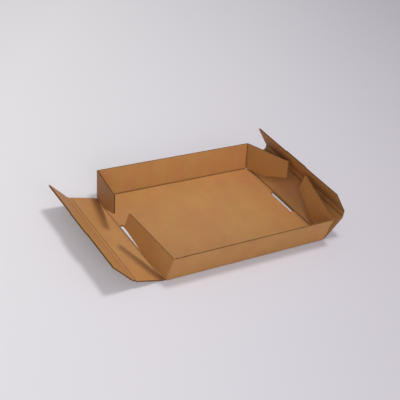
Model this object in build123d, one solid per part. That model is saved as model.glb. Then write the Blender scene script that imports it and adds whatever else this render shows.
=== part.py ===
from build123d import *
import os

# One die-cut sheet of corrugated board, folded part-way into a low tray.
# Millimetres. +Z up, the base's underside at z = 0, origin at the base's middle.
# +X runs to the right end, +Y to the back wall. Angles are in degrees.

# Board
BOARD = 2.5
CREASE_GAP = 0.3

# Flat sizes, from crease to crease or from crease to cut edge
BASE_LENGTH = 326.0
BASE_WIDTH = 240.0
SIDE_WALL_HEIGHT = 50.5
FLAP_CREASE_INSET = 5.0
END_WALL_HEIGHT = 50.0
TOP_STRIP_WIDTH = 9.0
TOP_STRIP_INSET = 1.5
ROLL_OVER_HEIGHT = 48.0
ROLL_OVER_INSET = 2.5
TAB_LENGTH = 62.0
TAB_HEIGHT = 3.0
TAB_CHAMFER = 3.0

# Corner flaps
FLAP_LENGTH = 108.0
FLAP_BOTTOM_LIFT = 1.0
FLAP_STEP_AT = 56.0
FLAP_STEP = 1.6
FLAP_RELIEF = 16.0
FLAP_TOP_DROP = 1.5
FLAP_CORNER_R = 1.5

# Slots that the tabs lock into
SLOT_LENGTH = TAB_LENGTH + 2.0
SLOT_WIDTH = 7.0
SLOT_WEB = 1.5
SLOT_CORNER_R = 0.8

# How far each crease stands folded, from the flat sheet
FRONT_WALL_FOLD = 76.4
BACK_WALL_FOLD = 78.4
FRONT_LEFT_FLAP_FOLD = 76.2
FRONT_RIGHT_FLAP_FOLD = 82.5
BACK_LEFT_FLAP_FOLD = 77.8
BACK_RIGHT_FLAP_FOLD = 82.0
LEFT_END_WALL_FOLD = 13.2
LEFT_TOP_STRIP_FOLD = 14.9
LEFT_ROLL_OVER_FOLD = 14.9
RIGHT_END_WALL_FOLD = 52.0
RIGHT_TOP_STRIP_FOLD = 36.5
RIGHT_ROLL_OVER_FOLD = 36.5

HALF_LENGTH = BASE_LENGTH / 2
HALF_WIDTH = BASE_WIDTH / 2
FLAP_CREASE_X = HALF_LENGTH - FLAP_CREASE_INSET
STRIP_CREASE_X = HALF_LENGTH + END_WALL_HEIGHT
ROLL_CREASE_X = STRIP_CREASE_X + TOP_STRIP_WIDTH
EDGE = CREASE_GAP / 2


def board(points):
    """A piece of flat board with this outline, its outer face at z = 0."""
    return extrude(make_face(Polyline(*points, close=True)), BOARD, dir=(0, 0, 1))


def crease_along_y(x, end):
    """The crease at this distance from the middle, on the left or right end."""
    return Axis((end * x, 0, BOARD), (0, -end, 0))


def crease_along_x(side):
    """The crease between the base and the front or back wall."""
    return Axis((0, side * HALF_WIDTH, BOARD), (side, 0, 0))


def flap_crease(end, side):
    """The crease between a side wall and its corner flap."""
    return Axis((end * FLAP_CREASE_X, 0, BOARD), (0, -end, 0))


def folded(shape, *folds):
    """The shape after its folds, given from the outermost crease inwards."""
    for crease, angle in folds:
        shape = shape.rotate(crease, angle)
    return shape


def base_panel():
    """The floor of the tray, with a locking slot beside each end crease."""
    panel = Box(BASE_LENGTH - CREASE_GAP, BASE_WIDTH - CREASE_GAP, BOARD)
    slot_x = HALF_LENGTH - SLOT_WEB - SLOT_WIDTH / 2
    for end in (-1, 1):
        slot = extrude(RectangleRounded(SLOT_WIDTH, SLOT_LENGTH, SLOT_CORNER_R), BOARD, both=True)
        panel -= Pos(end * slot_x, 0, 0) * slot
    return Pos(0, 0, BOARD / 2) * panel


def side_wall(side, fold):
    """The front or back wall."""
    near = side * (HALF_WIDTH + EDGE)
    far = side * (HALF_WIDTH + SIDE_WALL_HEIGHT)
    x = FLAP_CREASE_X - EDGE
    flat = board([(-x, near), (x, near), (x, far), (-x, far)])
    return folded(flat, (crease_along_x(side), fold))


def corner_flap(end, side, flap_fold, wall_fold):
    """A flap on the end of a side wall, cut away below towards its free end."""
    root = FLAP_CREASE_X + EDGE
    step = FLAP_CREASE_X + FLAP_STEP_AT
    tip = FLAP_CREASE_X + FLAP_LENGTH
    low = HALF_WIDTH + FLAP_BOTTOM_LIFT
    top = HALF_WIDTH + SIDE_WALL_HEIGHT
    outline = [
        (root, low),
        (step, low),
        (step, low + FLAP_STEP),
        (tip, HALF_WIDTH + FLAP_RELIEF),
        (tip, top - FLAP_TOP_DROP),
        (root, top),
    ]
    flat = board([(end * x, side * y) for x, y in outline])
    upright_edges = flat.edges().filter_by(Axis.Z)
    flat = fillet(upright_edges.filter_by_position(Axis.X, end * tip - EDGE, end * tip + EDGE), FLAP_CORNER_R)
    return folded(flat, (flap_crease(end, side), flap_fold), (crease_along_x(side), wall_fold))


def end_wall(end, fold):
    """An end wall, as wide as the base."""
    near = end * (HALF_LENGTH + EDGE)
    far = end * (STRIP_CREASE_X - EDGE)
    y = HALF_WIDTH
    flat = board([(near, -y), (far, -y), (far, y), (near, y)])
    return folded(flat, (crease_along_y(HALF_LENGTH, end), fold))


def top_strip(end, strip_fold, wall_fold):
    """The narrow strip between the two creases along an end wall's top."""
    near = end * (STRIP_CREASE_X + EDGE)
    far = end * (ROLL_CREASE_X - EDGE)
    y = HALF_WIDTH - TOP_STRIP_INSET
    flat = board([(near, -y), (far, -y), (far, y), (near, y)])
    creases = crease_along_y(STRIP_CREASE_X, end), crease_along_y(HALF_LENGTH, end)
    return folded(flat, (creases[0], strip_fold), (creases[1], wall_fold))


def roll_over(end, roll_fold, strip_fold, wall_fold):
    """The inner end wall that rolls over, with the locking tab on its free edge."""
    near = ROLL_CREASE_X + EDGE
    far = ROLL_CREASE_X + ROLL_OVER_HEIGHT
    root_y = HALF_WIDTH - TOP_STRIP_INSET
    free_y = HALF_WIDTH - ROLL_OVER_INSET
    tab_y = TAB_LENGTH / 2
    half = [
        (near, root_y),
        (far, free_y),
        (far, tab_y),
        (far + TAB_HEIGHT, tab_y - TAB_CHAMFER),
    ]
    outline = half + [(x, -y) for x, y in reversed(half)]
    flat = board([(end * x, y) for x, y in outline])
    folds = (
        (crease_along_y(ROLL_CREASE_X, end), roll_fold),
        (crease_along_y(STRIP_CREASE_X, end), strip_fold),
        (crease_along_y(HALF_LENGTH, end), wall_fold),
    )
    return folded(flat, *folds)


def save(shape, node):
    """Write one panel as its own node."""
    export_step(shape, f"parts/{node}.step")


os.makedirs("parts", exist_ok=True)

save(base_panel(), "base_panel")

SIDES = {"front": (-1, FRONT_WALL_FOLD), "back": (1, BACK_WALL_FOLD)}
FLAP_FOLDS = {
    "front_left": FRONT_LEFT_FLAP_FOLD,
    "front_right": FRONT_RIGHT_FLAP_FOLD,
    "back_left": BACK_LEFT_FLAP_FOLD,
    "back_right": BACK_RIGHT_FLAP_FOLD,
}
ENDS = {
    "left": (-1, LEFT_END_WALL_FOLD, LEFT_TOP_STRIP_FOLD, LEFT_ROLL_OVER_FOLD),
    "right": (1, RIGHT_END_WALL_FOLD, RIGHT_TOP_STRIP_FOLD, RIGHT_ROLL_OVER_FOLD),
}

for side_name, (side, wall_fold) in SIDES.items():
    save(side_wall(side, wall_fold), f"{side_name}_wall")
    for end_name, end in (("left", -1), ("right", 1)):
        flap_fold = FLAP_FOLDS[f"{side_name}_{end_name}"]
        save(corner_flap(end, side, flap_fold, wall_fold), f"{side_name}_{end_name}_flap")

for end_name, (end, wall_fold, strip_fold, roll_fold) in ENDS.items():
    save(end_wall(end, wall_fold), f"{end_name}_end_wall")
    save(top_strip(end, strip_fold, wall_fold), f"{end_name}_top_strip")
    save(roll_over(end, roll_fold, strip_fold, wall_fold), f"{end_name}_roll_over")
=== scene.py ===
"""Cardboard tray box: one die-cut corrugated blank, folded part-way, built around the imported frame.

Every panel is drawn in the flat blank, where its outer face lies at z = 0, then cut, scored and folded
into place about the same creases as the frame's panels. Metres throughout.
"""
import logging
import math
from collections.abc import Iterator, Sequence
from contextlib import contextmanager
from dataclasses import dataclass, field
from enum import Enum

import bmesh
import bpy
import numpy as np
from mathutils import Matrix, Vector


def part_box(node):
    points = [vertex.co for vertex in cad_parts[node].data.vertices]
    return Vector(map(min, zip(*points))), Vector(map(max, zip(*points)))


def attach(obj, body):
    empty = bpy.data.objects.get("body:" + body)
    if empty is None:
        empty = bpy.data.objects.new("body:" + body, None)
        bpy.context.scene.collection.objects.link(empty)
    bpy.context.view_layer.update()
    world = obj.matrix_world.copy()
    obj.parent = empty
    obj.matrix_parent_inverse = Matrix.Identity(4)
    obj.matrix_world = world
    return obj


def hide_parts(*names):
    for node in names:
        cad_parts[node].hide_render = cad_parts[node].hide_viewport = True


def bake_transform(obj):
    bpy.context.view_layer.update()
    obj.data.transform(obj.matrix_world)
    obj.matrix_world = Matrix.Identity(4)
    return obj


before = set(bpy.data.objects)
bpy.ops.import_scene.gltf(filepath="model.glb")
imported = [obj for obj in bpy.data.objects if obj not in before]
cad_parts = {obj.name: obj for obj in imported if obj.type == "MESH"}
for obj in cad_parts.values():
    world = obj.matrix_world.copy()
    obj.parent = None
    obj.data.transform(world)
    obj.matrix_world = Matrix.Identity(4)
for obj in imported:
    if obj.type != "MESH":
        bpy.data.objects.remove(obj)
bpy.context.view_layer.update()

MM = 0.001
UP = Vector((0, 0, 1))
log = logging.getLogger("tray_box")


class End(Enum):
    """An end of the tray, by its direction along X."""

    LEFT = -1
    RIGHT = 1


class Side(Enum):
    """A long side of the tray, by its direction along Y."""

    FRONT = -1
    BACK = 1


# Modelling helpers


def select_only(piece: bpy.types.Object) -> None:
    """Makes this piece the only selected and the active one."""
    bpy.ops.object.select_all(action="DESELECT")
    piece.select_set(True)
    bpy.context.view_layer.objects.active = piece


@contextmanager
def editing(piece: bpy.types.Object) -> Iterator[None]:
    """Holds a piece in edit mode."""
    select_only(piece)
    bpy.ops.object.mode_set(mode="EDIT")
    yield
    bpy.ops.object.mode_set(mode="OBJECT")


def apply_modifier(piece: bpy.types.Object, modifier: bpy.types.Modifier) -> None:
    """Turns one modifier into mesh."""
    select_only(piece)
    bpy.ops.object.modifier_apply(modifier=modifier.name)


def settle(piece: bpy.types.Object, place: Matrix) -> None:
    """Moves a piece and puts the move into its mesh, so that its object stays at the origin."""
    piece.matrix_world = place @ piece.matrix_world
    select_only(piece)
    bpy.ops.object.transform_apply(location=True, rotation=True, scale=True)


def draw_line(name: str, points: Sequence[Vector]) -> bpy.types.Object:
    """Draws a chain of points, as by extruding one point after another.

    Args:
        name: The new object's name.
        points: The places that the line joins.

    Returns:
        An object that holds the open line.
    """
    bpy.ops.object.select_all(action="DESELECT")
    bpy.ops.mesh.primitive_plane_add(size=MM, location=points[0])
    piece = bpy.context.object
    piece.name = name
    settle(piece, Matrix.Identity(4))
    with editing(piece):
        bpy.ops.mesh.select_all(action="SELECT")
        bpy.ops.mesh.merge(type="CENTER")
        for last, point in zip(points, points[1:]):
            bpy.ops.mesh.extrude_vertices_move(TRANSFORM_OT_translate={"value": point - last})
    return piece


def extrude(piece: bpy.types.Object, move: Vector) -> None:
    """Extrudes everything in a piece by one move, and turns its faces outwards."""
    with editing(piece):
        bpy.ops.mesh.select_all(action="SELECT")
        bpy.ops.mesh.extrude_region_move(TRANSFORM_OT_translate={"value": move})
        bpy.ops.mesh.select_all(action="SELECT")
        bpy.ops.mesh.normals_make_consistent(inside=False)


def draw_plate(name: str, points: Sequence[Vector], bottom: float, top: float) -> bpy.types.Object:
    """Draws a closed outline and raises it into a plate between two heights.

    Args:
        name: The new object's name.
        points: The outline's corners, in order.
        bottom: Height of its lower face.
        top: Height of its upper face.

    Returns:
        The plate.
    """
    plate = draw_line(name, [Vector((p.x, p.y, bottom)) for p in points])
    with editing(plate):
        bpy.ops.mesh.select_all(action="SELECT")
        bpy.ops.mesh.edge_face_add()
    extrude(plate, UP * (top - bottom))
    return plate


def cut_with(piece: bpy.types.Object, die: bpy.types.Object, operation: str) -> None:
    """Cuts a piece with a die by boolean, and throws the die away.

    Args:
        piece: What is cut.
        die: The cutting shape.
        operation: INTERSECT keeps what is in the die, DIFFERENCE what is outside it.
    """
    cut = piece.modifiers.new("cut", "BOOLEAN")
    cut.operation = operation
    cut.solver = "EXACT"
    cut.object = die
    apply_modifier(piece, cut)
    bpy.data.objects.remove(die)


def join(layers: Sequence[bpy.types.Object], name: str) -> bpy.types.Object:
    """Joins the layers of one piece under its name."""
    select_only(layers[0])
    for layer in layers:
        layer.select_set(True)
    bpy.ops.object.join()
    layers[0].name = name
    layers[0].data.name = name
    return layers[0]


def mesh_points(piece: bpy.types.Object) -> np.ndarray:
    """All the points of a mesh, one row each."""
    flat = np.zeros(len(piece.data.vertices) * 3)
    piece.data.vertices.foreach_get("co", flat)
    return flat.reshape(-1, 3)


def write_attribute(piece: bpy.types.Object, name: str, values: np.ndarray) -> None:
    """Stores a number or a vector on every point of a mesh."""
    vector = values.ndim == 2
    kind = "FLOAT_VECTOR" if vector else "FLOAT"
    attribute = piece.data.attributes.new(name, kind, "POINT")
    attribute.data.foreach_set("vector" if vector else "value", values.astype(np.float32).ravel())


def smooth(piece: bpy.types.Object, angle: float = 30) -> None:
    """Shades a piece smooth, apart from edges sharper than an angle in degrees."""
    select_only(piece)
    bpy.ops.object.shade_smooth_by_angle(angle=math.radians(angle))


# Finishes


def add_node(tree: bpy.types.NodeTree, kind: str, **settings: object) -> bpy.types.Node:
    """Adds a shader node and sets its properties and inputs by name.

    Args:
        tree: The node tree that takes it.
        kind: The node's type, without its ShaderNode prefix.
        **settings: Properties of the node, or inputs with spaces written as underscores.

    Returns:
        The new node.
    """
    node = tree.nodes.new("ShaderNode" + kind)
    for name, value in settings.items():
        if hasattr(node, name):
            setattr(node, name, value)
        else:
            node.inputs[name.replace("_", " ")].default_value = value
    return node


def calculate(tree: bpy.types.NodeTree, operation: str, *values: object) -> bpy.types.NodeSocket:
    """Adds a Math node whose inputs are sockets or plain numbers, and returns its output."""
    node = add_node(tree, "Math", operation=operation)
    for socket, value in zip(node.inputs, values):
        if isinstance(value, bpy.types.NodeSocket):
            tree.links.new(value, socket)
        else:
            socket.default_value = value
    return node.outputs[0]


def paper_grain() -> bpy.types.ShaderNodeTree:
    """The shared effect of kraft paper: cloudy colour, fibres, painted shade along the creases and a height
    for bump.

    Returns:
        The node group, built once.
    """
    made = bpy.data.node_groups.get("paper_grain")
    if made:
        return made
    tree = bpy.data.node_groups.new("paper_grain", "ShaderNodeTree")
    sockets = tree.interface
    sockets.new_socket("Place", in_out="INPUT", socket_type="NodeSocketVector")
    sockets.new_socket("Colour", in_out="INPUT", socket_type="NodeSocketColor")
    for name, value in (("Cloud", 0.1), ("Fibre", 0.1), ("Ripple", 0.0), ("Crease", 0.0)):
        sockets.new_socket(name, in_out="INPUT", socket_type="NodeSocketFloat").default_value = value
    sockets.new_socket("Colour", in_out="OUTPUT", socket_type="NodeSocketColor")
    sockets.new_socket("Roughness", in_out="OUTPUT", socket_type="NodeSocketFloat")
    sockets.new_socket("Height", in_out="OUTPUT", socket_type="NodeSocketFloat")
    source = tree.nodes.new("NodeGroupInput")
    result = tree.nodes.new("NodeGroupOutput")
    link = tree.links.new

    def noise(stretch: tuple[float, float, float], detail: float) -> bpy.types.NodeSocket:
        """Noise about nought, its cells this many to the metre along each axis."""
        spread = add_node(tree, "Mapping", Scale=stretch)
        link(source.outputs["Place"], spread.inputs["Vector"])
        pattern = add_node(tree, "TexNoise", Scale=1.0, Detail=detail, Roughness=0.55)
        link(spread.outputs["Vector"], pattern.inputs["Vector"])
        return calculate(tree, "SUBTRACT", pattern.outputs["Fac"], 0.5)

    cloud = noise((21, 26, 240), 3)
    tint = noise((34, 15, 160), 2)
    blotch = noise((170, 120, 500), 2)
    fibre = noise((420, 2600, 1500), 3)
    fleck = noise((1500, 1500, 1500), 1)
    shade = calculate(tree, "MULTIPLY", calculate(tree, "MULTIPLY_ADD", blotch, 0.5, cloud),
                      source.outputs["Cloud"])
    threads = calculate(tree, "MULTIPLY", fibre, source.outputs["Fibre"])
    value = calculate(tree, "ADD", calculate(tree, "ADD", shade, threads), 1.0)
    # Painted shade: the Crease input darkens the paper by up to 42 percent along the creases.
    crease_shade = calculate(tree, "MULTIPLY_ADD", source.outputs["Crease"], -0.42, 1.0)
    value = calculate(tree, "MULTIPLY", value, crease_shade)
    hue = calculate(tree, "MULTIPLY_ADD", tint, 0.035, 0.5)
    paint = add_node(tree, "HueSaturation", Saturation=1.0, Fac=1.0)
    link(source.outputs["Colour"], paint.inputs["Color"])
    link(hue, paint.inputs["Hue"])
    link(value, paint.inputs["Value"])
    link(paint.outputs["Color"], result.inputs["Colour"])
    link(calculate(tree, "MULTIPLY_ADD", fleck, 0.18, 0.6), result.inputs["Roughness"])
    across = add_node(tree, "SeparateXYZ")
    link(source.outputs["Place"], across.inputs[0])
    wave = calculate(tree, "SINE", calculate(tree, "MULTIPLY", across.outputs["Y"], math.tau / (6.4 * MM)))
    ripple = calculate(tree, "MULTIPLY", wave, source.outputs["Ripple"])
    link(calculate(tree, "ADD", calculate(tree, "ADD", fibre, ripple), fleck), result.inputs["Height"])
    return tree


@dataclass(frozen=True)
class PaperFinish:
    """One paper surface of the board."""

    name: str
    colour: tuple[float, float, float]
    cloud: float = 0.22
    fibre: float = 0.12
    ripple: float = 0.0
    bump: float = 0.25
    gloss: float = 0.5

    def material(self) -> bpy.types.Material:
        """Builds this finish once, or finds it.

        Returns:
            The material.
        """
        made = bpy.data.materials.get(self.name)
        if made:
            return made
        made = bpy.data.materials.new(self.name)
        made.use_nodes = True
        tree = made.node_tree
        surface = tree.nodes["Principled BSDF"]
        surface.inputs["Specular IOR Level"].default_value = self.gloss
        place = add_node(tree, "Attribute", attribute_name="flat_place")
        # The crease attribute sets the painted shade along the creases.
        crease = add_node(tree, "Attribute", attribute_name="crease")
        grain = tree.nodes.new("ShaderNodeGroup")
        grain.node_tree = paper_grain()
        grain.inputs["Colour"].default_value = (*self.colour, 1)
        grain.inputs["Cloud"].default_value = self.cloud
        grain.inputs["Fibre"].default_value = self.fibre
        grain.inputs["Ripple"].default_value = self.ripple
        link = tree.links.new
        link(place.outputs["Vector"], grain.inputs["Place"])
        link(crease.outputs["Fac"], grain.inputs["Crease"])
        bump = add_node(tree, "Bump", Strength=self.bump, Distance=0.1 * MM)
        link(grain.outputs["Height"], bump.inputs["Height"])
        link(grain.outputs["Colour"], surface.inputs["Base Color"])
        link(grain.outputs["Roughness"], surface.inputs["Roughness"])
        link(bump.outputs["Normal"], surface.inputs["Normal"])
        return made


LINER = PaperFinish("kraft_liner", (0.425, 0.197, 0.058), ripple=0.35)
CUT_EDGE = PaperFinish("cut_paper_edge", (0.28, 0.135, 0.05), cloud=0.3, fibre=0.4, bump=0.5, gloss=0.3)
MEDIUM = PaperFinish("fluted_medium", (0.24, 0.115, 0.04), cloud=0.3, fibre=0.3, bump=0.4, gloss=0.3)


# The blank


@dataclass(frozen=True)
class Stock:
    """The corrugated board that the blank is cut from."""

    thickness: float
    liner: float = 0.32 * MM
    medium: float = 0.2 * MM
    flute_pitch: float = 6.4 * MM
    flute_steps: int = 8
    glue_gap: float = 0.02 * MM
    core_margin: float = 3.0 * MM
    score_rows: tuple[tuple[float, float], ...] = (
        (0.0, 1.0),
        (0.5 * MM, 0.85),
        (1.0 * MM, 0.4),
        (1.5 * MM, 0.08),
        (2.0 * MM, 0.0),
        (2.6 * MM, 0.0),
    )
    score_depth: float = 0.7 * MM

    def press(self, distance: np.ndarray) -> np.ndarray:
        """How deep the score is at these distances from the crease, from 0 to 1."""
        rows = np.array(self.score_rows)
        return np.interp(distance, rows[:, 0], rows[:, 1])


@dataclass(frozen=True)
class Blank:
    """The flat sizes of the blank, from crease to crease or to a cut edge."""

    half_length: float
    half_width: float
    edge: float = 0.15 * MM
    side_wall: float = 50.5 * MM
    flap_crease_inset: float = 5 * MM
    end_wall: float = 50 * MM
    top_strip: float = 9 * MM
    strip_inset: float = 1.5 * MM

    @property
    def flap_crease(self) -> float:
        """Distance of the flap creases from the middle."""
        return self.half_length - self.flap_crease_inset

    @property
    def strip_crease(self) -> float:
        """Distance of the outer end creases' first line from the middle."""
        return self.half_length + self.end_wall

    @property
    def roll_crease(self) -> float:
        """Distance of the roll-over creases from the middle."""
        return self.strip_crease + self.top_strip

    @property
    def strip_half_width(self) -> float:
        """Half the length of the creases beside a top strip."""
        return self.half_width - self.strip_inset


def read_frame() -> tuple[Stock, Blank]:
    """Takes the board's thickness and the base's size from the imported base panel."""
    low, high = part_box("base_panel")
    stock = Stock(thickness=high.z - low.z)
    blank = Blank(half_length=high.x + Blank.edge, half_width=high.y + Blank.edge)
    return stock, blank


@dataclass(frozen=True)
class Fold:
    """A crease in the flat blank, and how far it stands folded, in degrees."""

    pivot: Vector
    axis: Vector
    angle: float

    def turn(self, share: float = 1.0) -> Matrix:
        """The move that folds the board about this crease, or a share of it."""
        place = Matrix.Translation(self.pivot)
        spin = Matrix.Rotation(math.radians(self.angle * share), 4, self.axis)
        return place @ spin @ place.inverted()

    @property
    def outward(self) -> Vector:
        """The flat direction from the crease into the panel that it folds."""
        return UP.cross(self.axis)


@dataclass(frozen=True)
class Score:
    """A creased side of a panel: a place on its cut and the way into the panel."""

    at: Vector
    inward: Vector

    def distance(self, points: np.ndarray) -> np.ndarray:
        """How far points lie from the cut."""
        return (points - np.array(self.at)) @ np.array(self.inward)


@dataclass
class Panel:
    """A flat panel of the blank. Each kind of panel says its outline, its scores and its folds."""

    name: str
    stock: Stock
    blank: Blank

    def outline(self, inset: float) -> list[Vector]:
        """The corners, with creased sides held back from their crease by an inset."""
        raise NotImplementedError

    def folds(self) -> list[Fold]:
        """The creases that carry this panel, from its own one inwards."""
        return []

    def scores(self) -> list[Score]:
        """The creased sides."""
        return []

    def openings(self) -> list[list[Vector]]:
        """Outlines of the holes through the panel."""
        return []

    def placed(self) -> Matrix:
        """The move from the flat blank to where the panel stands."""
        place = Matrix.Identity(4)
        for fold in self.folds():
            place = fold.turn() @ place
        return place

    def liner(self, label: str, bottom: float) -> bpy.types.Object:
        """Cuts one liner of the board to the panel's outline."""
        plate = draw_plate(label, self.outline(self.blank.edge), bottom, bottom + self.stock.liner)
        plate.data.materials.append(LINER.material())
        plate.data.materials.append(CUT_EDGE.material())
        return plate

    def press_scores(self, plate: bpy.types.Object) -> None:
        """Presses a groove into the inner liner along each creased side."""
        for score in self.scores():
            with editing(plate):
                for reach, _ in self.stock.score_rows[1:]:
                    bpy.ops.mesh.select_all(action="SELECT")
                    bpy.ops.mesh.bisect(plane_co=score.at + score.inward * reach, plane_no=score.inward)
        for score in self.scores():
            for reach, share in self.stock.score_rows:
                if share > 0:
                    with editing(plate):
                        self.pick_row(plate, score, reach)
                        press = -share * self.stock.score_depth
                        bpy.ops.transform.translate(value=(0, 0, press))

    @staticmethod
    def pick_row(plate: bpy.types.Object, score: Score, reach: float) -> None:
        """Selects the points of a plate that lie this far from a score."""
        bpy.ops.mesh.select_mode(type="VERT")
        bpy.ops.mesh.select_all(action="DESELECT")
        mesh = bmesh.from_edit_mesh(plate.data)
        for vertex in mesh.verts:
            offset = (vertex.co - score.at).dot(score.inward)
            vertex.select_set(abs(offset - reach) < 0.02 * MM)
        mesh.select_flush_mode()
        bmesh.update_edit_mesh(plate.data)

    def core(self) -> bpy.types.Object:
        """Makes the fluted medium between the liners, cut to the panel's outline.

        Returns:
            The medium, its flutes running along X and in step all over the blank.
        """
        stock = self.stock
        outline = self.outline(stock.core_margin)
        low = Vector((min(p.x for p in outline), min(p.y for p in outline), 0))
        high = Vector((max(p.x for p in outline), max(p.y for p in outline), 0))
        first = math.floor(low.y / stock.flute_pitch) - 1
        count = math.ceil(high.y / stock.flute_pitch) - first + 1
        rise = (stock.thickness - stock.medium) / 2 - stock.liner - stock.glue_gap
        steps = stock.flute_steps
        wave = [
            Vector((
                low.x - MM,
                (first + k / steps) * stock.flute_pitch,
                stock.thickness / 2 + rise * math.cos(math.tau * k / steps),
            ))
            for k in range(steps + 1)
        ]
        flutes = draw_line(self.name + "_core", wave)
        extrude(flutes, Vector((high.x - low.x + 2 * MM, 0, 0)))
        rows = flutes.modifiers.new("rows", "ARRAY")
        rows.count = count
        rows.use_relative_offset = False
        rows.use_constant_offset = True
        rows.constant_offset_displace = (0, stock.flute_pitch, 0)
        rows.use_merge_vertices = True
        rows.merge_threshold = 0.01 * MM
        apply_modifier(flutes, rows)
        wall = flutes.modifiers.new("wall", "SOLIDIFY")
        wall.thickness = stock.medium
        wall.offset = 0
        apply_modifier(flutes, wall)
        cut_with(flutes, draw_plate("die", outline, -MM, stock.thickness + MM), "INTERSECT")
        flutes.data.materials.clear()
        flutes.data.materials.append(MEDIUM.material())
        return flutes

    def mark(self, piece: bpy.types.Object) -> None:
        """Stores where each point lies in the blank, and how near it is to a crease, which sets the painted
        crease shade.
        """
        points = mesh_points(piece)
        write_attribute(piece, "flat_place", points)
        # Painted shade along the creases, on the inner liner only.
        pressed = np.zeros(len(points))
        for score in self.scores():
            pressed = np.maximum(pressed, self.stock.press(score.distance(points)))
        inner_side = points[:, 2] > self.stock.thickness / 2
        write_attribute(piece, "crease", pressed * inner_side)

    def build(self) -> bpy.types.Object:
        """Models, dresses and folds the panel, and hands it to the frame.

        Returns:
            The finished panel.
        """
        outer = self.liner(self.name + "_outer", 0)
        inner = self.liner(self.name + "_inner", self.stock.thickness - self.stock.liner)
        layers = [outer, inner, self.core()]
        for layer in layers:
            for hole in self.openings():
                cut_with(layer, draw_plate("die", hole, -MM, self.stock.thickness + MM), "DIFFERENCE")
        self.press_scores(inner)
        for plate in (outer, inner):
            for polygon in plate.data.polygons:
                polygon.material_index = int(abs(polygon.normal.z) < 0.5)
        piece = join(layers, self.name + "_board")
        self.mark(piece)
        settle(piece, self.placed())
        smooth(piece)
        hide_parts(self.name)
        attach(piece, self.name)
        return piece


@dataclass
class BasePanel(Panel):
    """The floor of the tray, with a locking slot beside each end crease."""

    slot_length: float = 64 * MM
    slot_width: float = 7 * MM
    slot_web: float = 1.5 * MM
    slot_corner: float = 0.8 * MM

    def outline(self, inset: float) -> list[Vector]:
        """The base's corners."""
        x, y = self.blank.half_length - inset, self.blank.half_width - inset
        return [Vector((-x, -y, 0)), Vector((x, -y, 0)), Vector((x, y, 0)), Vector((-x, y, 0))]

    def scores(self) -> list[Score]:
        """All four sides are creased."""
        x, y = self.blank.half_length - self.blank.edge, self.blank.half_width - self.blank.edge
        ends = [Score(Vector((end.value * x, 0, 0)), Vector((-end.value, 0, 0))) for end in End]
        sides = [Score(Vector((0, side.value * y, 0)), Vector((0, -side.value, 0))) for side in Side]
        return ends + sides

    def openings(self) -> list[list[Vector]]:
        """The two slots, with rounded corners."""
        middle = self.blank.half_length - self.slot_web - self.slot_width / 2
        reach = Vector((self.slot_width / 2 - self.slot_corner, self.slot_length / 2 - self.slot_corner, 0))
        quarter = 90
        slots = []
        for end in End:
            outline = []
            for turn in range(4):
                start = math.radians(quarter * turn)
                sign_x = 1 if turn in (0, 3) else -1
                sign_y = 1 if turn in (0, 1) else -1
                corner = Vector((end.value * middle + sign_x * reach.x, sign_y * reach.y, 0))
                for k in range(4):
                    angle = start + math.radians(quarter * k / 3)
                    outline.append(corner + self.slot_corner * Vector((math.cos(angle), math.sin(angle), 0)))
            slots.append(outline)
        return slots


@dataclass
class SideWall(Panel):
    """The front or back wall."""

    side: Side = Side.FRONT
    angle: float = 0.0

    @property
    def fold(self) -> Fold:
        """The crease between the base and this wall."""
        sign = self.side.value
        pivot = Vector((0, sign * self.blank.half_width, self.stock.thickness))
        return Fold(pivot, Vector((sign, 0, 0)), self.angle)

    def folds(self) -> list[Fold]:
        """The wall turns about one crease."""
        return [self.fold]

    def outline(self, inset: float) -> list[Vector]:
        """The wall's corners."""
        sign = self.side.value
        x = self.blank.flap_crease - inset
        near = sign * (self.blank.half_width + inset)
        far = sign * (self.blank.half_width + self.blank.side_wall)
        return [Vector((-x, near, 0)), Vector((x, near, 0)), Vector((x, far, 0)), Vector((-x, far, 0))]

    def scores(self) -> list[Score]:
        """The base crease and the two flap creases."""
        sign = self.side.value
        near = sign * (self.blank.half_width + self.blank.edge)
        x = self.blank.flap_crease - self.blank.edge
        flaps = [Score(Vector((end.value * x, 0, 0)), Vector((-end.value, 0, 0))) for end in End]
        return [Score(Vector((0, near, 0)), Vector((0, sign, 0)))] + flaps


@dataclass
class CornerFlap(Panel):
    """A flap on the end of a side wall, cut away below towards its free end."""

    wall: SideWall | None = None
    end: End = End.LEFT
    angle: float = 0.0
    length: float = 108 * MM
    bottom_lift: float = 1 * MM
    step_at: float = 56 * MM
    step: float = 1.6 * MM
    relief: float = 16 * MM
    top_drop: float = 1.5 * MM
    corner: float = 1.5 * MM

    @property
    def fold(self) -> Fold:
        """The crease between the wall and this flap."""
        sign = self.end.value
        pivot = Vector((sign * self.blank.flap_crease, 0, self.stock.thickness))
        return Fold(pivot, Vector((0, -sign, 0)), self.angle)

    def folds(self) -> list[Fold]:
        """The flap's own crease, then the wall's."""
        return [self.fold, self.wall.fold]

    def outline(self, inset: float) -> list[Vector]:
        """The flap's corners, with its two free corners rounded."""
        root = self.blank.flap_crease + inset
        step = self.blank.flap_crease + self.step_at
        tip = self.blank.flap_crease + self.length
        low = self.blank.half_width + self.bottom_lift
        top = self.blank.half_width + self.blank.side_wall
        foot = self.blank.half_width + self.relief
        head = top - self.top_drop
        points = [(root, low), (step, low), (step, low + self.step)]
        foot_middle = (tip - self.corner, foot + self.corner)
        head_middle = (tip - self.corner, head - self.corner)
        rounded = ((foot_middle, -75), (head_middle, 0))
        for middle, start in rounded:
            sweep = -start if start < 0 else 90
            for k in range(5):
                angle = math.radians(start + sweep * k / 4)
                reach = self.corner * math.cos(angle), self.corner * math.sin(angle)
                points.append((middle[0] + reach[0], middle[1] + reach[1]))
        points.append((root, top))
        return [Vector((self.end.value * x, self.wall.side.value * y, 0)) for x, y in points]

    def scores(self) -> list[Score]:
        """Only the side on the wall is creased."""
        sign = self.end.value
        near = sign * (self.blank.flap_crease + self.blank.edge)
        return [Score(Vector((near, 0, 0)), Vector((sign, 0, 0)))]


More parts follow.
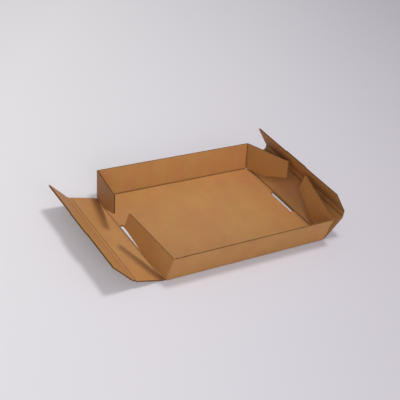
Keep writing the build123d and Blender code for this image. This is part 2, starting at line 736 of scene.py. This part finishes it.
@dataclass
class EndPanel(Panel):
    """A panel of an end: its near side is creased, and its far side too unless it is the last one."""

    end: End = End.LEFT
    near: float = 0.0
    far: float = 0.0
    half_width: float = 0.0
    angle: float = 0.0
    carrier: "EndPanel | None" = None
    last: bool = False
    taper: float = 1 * MM
    tab_half: float = 31 * MM
    tab_height: float = 3 * MM
    tab_chamfer: float = 3 * MM

    @property
    def fold(self) -> Fold:
        """The crease on this panel's near side."""
        sign = self.end.value
        pivot = Vector((sign * self.near, 0, self.stock.thickness))
        return Fold(pivot, Vector((0, -sign, 0)), self.angle)

    def folds(self) -> list[Fold]:
        """This panel's crease, then those nearer the base."""
        inner = self.carrier.folds() if self.carrier else []
        return [self.fold, *inner]

    def outline(self, inset: float) -> list[Vector]:
        """The panel's corners. The last panel tapers and has a locking tab."""
        near = self.near + inset
        if self.last:
            free = self.half_width - self.taper
            half = [(near, self.half_width), (self.far, free), (self.far, self.tab_half),
                    (self.far + self.tab_height, self.tab_half - self.tab_chamfer)]
        else:
            half = [(near, self.half_width), (self.far - inset, self.half_width)]
        points = half + [(x, -y) for x, y in reversed(half)]
        return [Vector((self.end.value * x, y, 0)) for x, y in points]

    def scores(self) -> list[Score]:
        """The near crease, and the far one unless this is the last panel."""
        sign = self.end.value
        edge = self.blank.edge
        found = [Score(Vector((sign * (self.near + edge), 0, 0)), Vector((sign, 0, 0)))]
        if not self.last:
            found.append(Score(Vector((sign * (self.far - edge), 0, 0)), Vector((-sign, 0, 0))))
        return found


@dataclass
class CreaseStrip:
    """The crushed board along one crease, bent to the angle of its fold."""

    name: str
    stock: Stock
    blank: Blank
    panel: Panel
    parent: str
    start: float
    stop: float
    bridge: float = 0.0
    slit: float = 0.0
    steps: int = 10

    def build(self) -> bpy.types.Object:
        """Spins the crushed section round its crease, places it and blends it between its two panels.

        Returns:
            The finished strip.
        """
        fold = self.panel.fold
        along = Vector((abs(fold.axis.x), abs(fold.axis.y), 0))
        length = self.bridge or self.stop - self.start
        foot = fold.pivot + along * self.start - fold.outward * self.blank.edge
        corners = [
            foot - UP * self.stock.thickness,
            foot - UP * self.stock.thickness + along * length,
            foot - UP * self.stock.score_depth + along * length,
            foot - UP * self.stock.score_depth,
        ]
        strip = draw_line(self.name, corners)
        with editing(strip):
            bpy.ops.mesh.select_all(action="SELECT")
            bpy.ops.mesh.edge_face_add()
            bpy.ops.mesh.extrude_region_move(TRANSFORM_OT_translate={"value": fold.outward * self.blank.edge})
            bpy.ops.mesh.spin(
                steps=self.steps, angle=-math.radians(fold.angle), center=fold.pivot, axis=fold.axis
            )
            away = fold.turn().to_3x3() @ fold.outward * self.blank.edge
            bpy.ops.mesh.extrude_region_move(TRANSFORM_OT_translate={"value": away})
            bpy.ops.mesh.select_all(action="SELECT")
            bpy.ops.mesh.remove_doubles(threshold=0.001 * MM)
            bpy.ops.mesh.normals_make_consistent(inside=False)
        if self.bridge:
            self.repeat(strip, along)
        self.dress(strip, fold, along)
        place = Matrix.Identity(4)
        for carried in self.panel.folds()[1:]:
            place = carried.turn() @ place
        settle(strip, place)
        smooth(strip)
        outer = fold.pivot - UP * self.stock.thickness
        place @ fold.turn() @ outer
        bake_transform(strip)
        return strip

    def repeat(self, strip: bpy.types.Object, along: Vector) -> None:
        """Copies one bridge of a perforated crease along it, a slit apart."""
        pitch = self.bridge + self.slit
        row = strip.modifiers.new("row", "ARRAY")
        row.count = int((self.stop - self.start + self.slit) / pitch)
        row.use_relative_offset = False
        row.use_constant_offset = True
        row.constant_offset_displace = along * pitch
        apply_modifier(strip, row)

    def dress(self, strip: bpy.types.Object, fold: Fold, along: Vector) -> None:
        """Marks the strip's place in the blank, paints shade over its bend, and gives its bent faces and its
        ends their paper.
        """
        points = mesh_points(strip)
        pivot, line = np.array(fold.pivot), np.array(along)
        run = (points - pivot) @ line
        offset = points - pivot - np.outer(run, line)
        inner = np.linalg.norm(offset, axis=1) < self.stock.thickness / 2
        flat = pivot + np.outer(run, line)
        flat[:, 2] = np.where(inner, self.stock.thickness, 0)
        write_attribute(strip, "flat_place", flat)
        # Painted crease shade: full on the inner side of the bend, a quarter on the outer.
        write_attribute(strip, "crease", np.where(inner, 1.0, 0.25))
        strip.data.materials.append(LINER.material())
        strip.data.materials.append(CUT_EDGE.material())
        for polygon in strip.data.polygons:
            polygon.material_index = int(abs(polygon.normal.dot(along)) > 0.9)


# The tray


@dataclass
class Tray:
    """The whole folded blank: its base, side walls with flaps, ends and creases."""

    stock: Stock
    blank: Blank
    wall_angles: dict[Side, float] = field(default_factory=lambda: {Side.FRONT: 76.4, Side.BACK: 78.4})
    flap_angles: dict[tuple[Side, End], float] = field(default_factory=lambda: {
        (Side.FRONT, End.LEFT): 76.2,
        (Side.FRONT, End.RIGHT): 82.5,
        (Side.BACK, End.LEFT): 77.8,
        (Side.BACK, End.RIGHT): 82.0,
    })
    end_angles: dict[End, tuple[float, float, float]] = field(default_factory=lambda: {
        End.LEFT: (13.2, 14.9, 14.9),
        End.RIGHT: (52.0, 36.5, 36.5),
    })
    roll_over: float = 48 * MM
    bridge: float = 7.5 * MM
    slit: float = 4.5 * MM

    def build(self) -> list[bpy.types.Object]:
        """Builds every panel and crease, from the base outwards.

        Returns:
            The pieces, in the order that they were built.
        """
        made = [BasePanel("base_panel", self.stock, self.blank).build()]
        for side in Side:
            made += self.build_side(side)
        for end in End:
            made += self.build_end(end)
        return made

    def build_side(self, side: Side) -> list[bpy.types.Object]:
        """Builds one side wall, its two flaps and their creases."""
        stock, blank = self.stock, self.blank
        label = side.name.lower()
        wall = SideWall(label + "_wall", stock, blank, side=side, angle=self.wall_angles[side])
        reach = blank.flap_crease - blank.edge
        crease = CreaseStrip(label + "_crease", stock, blank, wall, "base_panel", -reach, reach)
        made = [wall.build(), crease.build()]
        for end in End:
            name = f"{label}_{end.name.lower()}_flap"
            flap = CornerFlap(name, stock, blank, wall=wall, end=end, angle=self.flap_angles[side, end])
            near = side.value * (blank.half_width + flap.bottom_lift)
            far = side.value * (blank.half_width + blank.side_wall)
            low, high = sorted((near, far))
            hinge = CreaseStrip(name + "_crease", stock, blank, flap, wall.name, low, high)
            made += [flap.build(), hinge.build()]
        return made

    def build_end(self, end: End) -> list[bpy.types.Object]:
        """Builds an end wall, its top strip and its roll-over panel, with their creases."""
        stock, blank = self.stock, self.blank
        label = end.name.lower()
        angles = self.end_angles[end]
        wall = EndPanel(label + "_end_wall", stock, blank, end=end, near=blank.half_length,
                        far=blank.strip_crease, half_width=blank.half_width, angle=angles[0])
        strip = EndPanel(label + "_top_strip", stock, blank, end=end, near=blank.strip_crease,
                         far=blank.roll_crease, half_width=blank.strip_half_width, angle=angles[1],
                         carrier=wall)
        roll = EndPanel(label + "_roll_over", stock, blank, end=end, near=blank.roll_crease,
                        far=blank.roll_crease + self.roll_over, half_width=blank.strip_half_width,
                        angle=angles[2], carrier=strip, last=True)
        made = []
        for panel, parent, half, cut in (
            (wall, "base_panel", blank.half_width - blank.edge, False),
            (strip, wall.name, blank.strip_half_width, end is End.LEFT),
            (roll, strip.name, blank.strip_half_width, False),
        ):
            crease = CreaseStrip(panel.name + "_crease", stock, blank, panel, parent, -half, half)
            if cut:
                crease.bridge, crease.slit = self.bridge, self.slit
            made += [panel.build(), crease.build()]
        return made


# The studio


@dataclass(frozen=True)
class Lamp:
    """A soft area light aimed at the tray."""

    name: str
    direction: Vector
    distance: float
    size: float
    power: float
    colour: tuple[float, float, float]

    def build(self, target: Vector) -> None:
        """Hangs the lamp and aims it."""
        data = bpy.data.lights.new(self.name, "AREA")
        data.shape = "DISK"
        data.size = self.size
        data.energy = self.power
        data.color = self.colour
        lamp = bpy.data.objects.new(self.name, data)
        bpy.context.scene.collection.objects.link(lamp)
        lamp.location = target + self.direction.normalized() * self.distance
        lamp.rotation_euler = (lamp.location - target).to_track_quat("Z", "Y").to_euler()


@dataclass(frozen=True)
class Studio:
    """A pale floor, soft light and the camera."""

    target: Vector = Vector((15.3 * MM, 57.8 * MM, 0))
    azimuth: float = -37.448
    elevation: float = 32.804
    roll: float = 10.541
    distance: float = 1630.8 * MM
    lens: float = 81.6
    floor_size: float = 14.0
    floor_near: tuple[float, float, float] = (0.56, 0.548, 0.566)
    floor_far: tuple[float, float, float] = (0.385, 0.365, 0.405)
    floor_reach: float = 0.45
    floor_glow: float = 0.38
    world: tuple[float, float, float] = (0.97, 0.965, 1.0)
    world_strength: float = 0.42
    lamps: tuple[Lamp, ...] = (
        Lamp("key", Vector((0.10, 0.0, 1.0)), 2.2, 0.55, 26.0, (1.0, 0.985, 0.965)),
        Lamp("front_fill", Vector((-0.35, -1.0, 0.35)), 2.5, 1.6, 34.0, (0.98, 0.98, 1.0)),
    )

    def build(self) -> None:
        """Sets up the floor, the world, the lamps and the camera."""
        self.build_floor()
        self.build_world()
        for lamp in self.lamps:
            lamp.build(Vector((0, 0, 0)))
        self.build_camera()
        bpy.context.scene.view_settings.view_transform = "Standard"

    def build_floor(self) -> None:
        """Lays the floor just under the tray, its grey deepening towards the right."""
        bpy.ops.object.select_all(action="DESELECT")
        bpy.ops.mesh.primitive_plane_add(size=self.floor_size, location=(0, 0, -0.2 * MM))
        floor = bpy.context.object
        floor.name = "floor"
        material = bpy.data.materials.new("floor_paper")
        material.use_nodes = True
        tree = material.node_tree
        surface = tree.nodes["Principled BSDF"]
        surface.inputs["Roughness"].default_value = 0.9
        surface.inputs["Specular IOR Level"].default_value = 0.1
        place = add_node(tree, "TexCoord")
        turned = add_node(tree, "Mapping", Rotation=(0, 0, -math.radians(self.azimuth)))
        split = add_node(tree, "SeparateXYZ")
        across = add_node(tree, "MapRange", From_Min=-self.floor_reach, From_Max=self.floor_reach)
        mix = add_node(tree, "Mix", data_type="RGBA")
        mix.inputs[6].default_value = (*self.floor_near, 1)
        mix.inputs[7].default_value = (*self.floor_far, 1)
        link = tree.links.new
        link(place.outputs["Object"], turned.inputs["Vector"])
        link(turned.outputs["Vector"], split.inputs[0])
        link(split.outputs["X"], across.inputs["Value"])
        link(across.outputs["Result"], mix.inputs[0])
        link(mix.outputs[2], surface.inputs["Base Color"])
        seen = add_node(tree, "LightPath")
        link(mix.outputs[2], surface.inputs["Emission Color"])
        link(calculate(tree, "MULTIPLY", seen.outputs["Is Camera Ray"], self.floor_glow),
             surface.inputs["Emission Strength"])
        floor.data.materials.append(material)

    def build_world(self) -> None:
        """Lights the tray evenly from all round."""
        world = bpy.data.worlds.new("studio")
        bpy.context.scene.world = world
        world.use_nodes = True
        sky = world.node_tree.nodes["Background"]
        sky.inputs["Color"].default_value = (*self.world, 1)
        sky.inputs["Strength"].default_value = self.world_strength

    def build_camera(self) -> None:
        """Places the camera at its angle, turned a little about its own line of sight."""
        data = bpy.data.cameras.new("camera")
        data.lens = self.lens
        camera = bpy.data.objects.new("camera", data)
        bpy.context.scene.collection.objects.link(camera)
        azimuth, elevation, roll = (math.radians(a) for a in (self.azimuth, self.elevation, self.roll))
        back = Vector((
            math.sin(azimuth) * math.cos(elevation),
            -math.cos(azimuth) * math.cos(elevation),
            math.sin(elevation),
        ))
        level = Vector((math.cos(azimuth), math.sin(azimuth), 0))
        upright = back.cross(level)
        right = math.cos(roll) * level + math.sin(roll) * upright
        up = math.cos(roll) * upright - math.sin(roll) * level
        turn = Matrix((right, up, back)).transposed().to_4x4()
        camera.matrix_world = Matrix.Translation(self.target + back * self.distance) @ turn
        bpy.context.scene.camera = camera


def main() -> None:
    """Builds the tray and its studio."""
    logging.basicConfig(level=logging.INFO, format="%(message)s")
    stock, blank = read_frame()
    for piece in Tray(stock, blank).build():
        log.info("%s: %d faces", piece.name, len(piece.data.polygons))
    Studio().build()


if __name__ == "__main__":
    main()
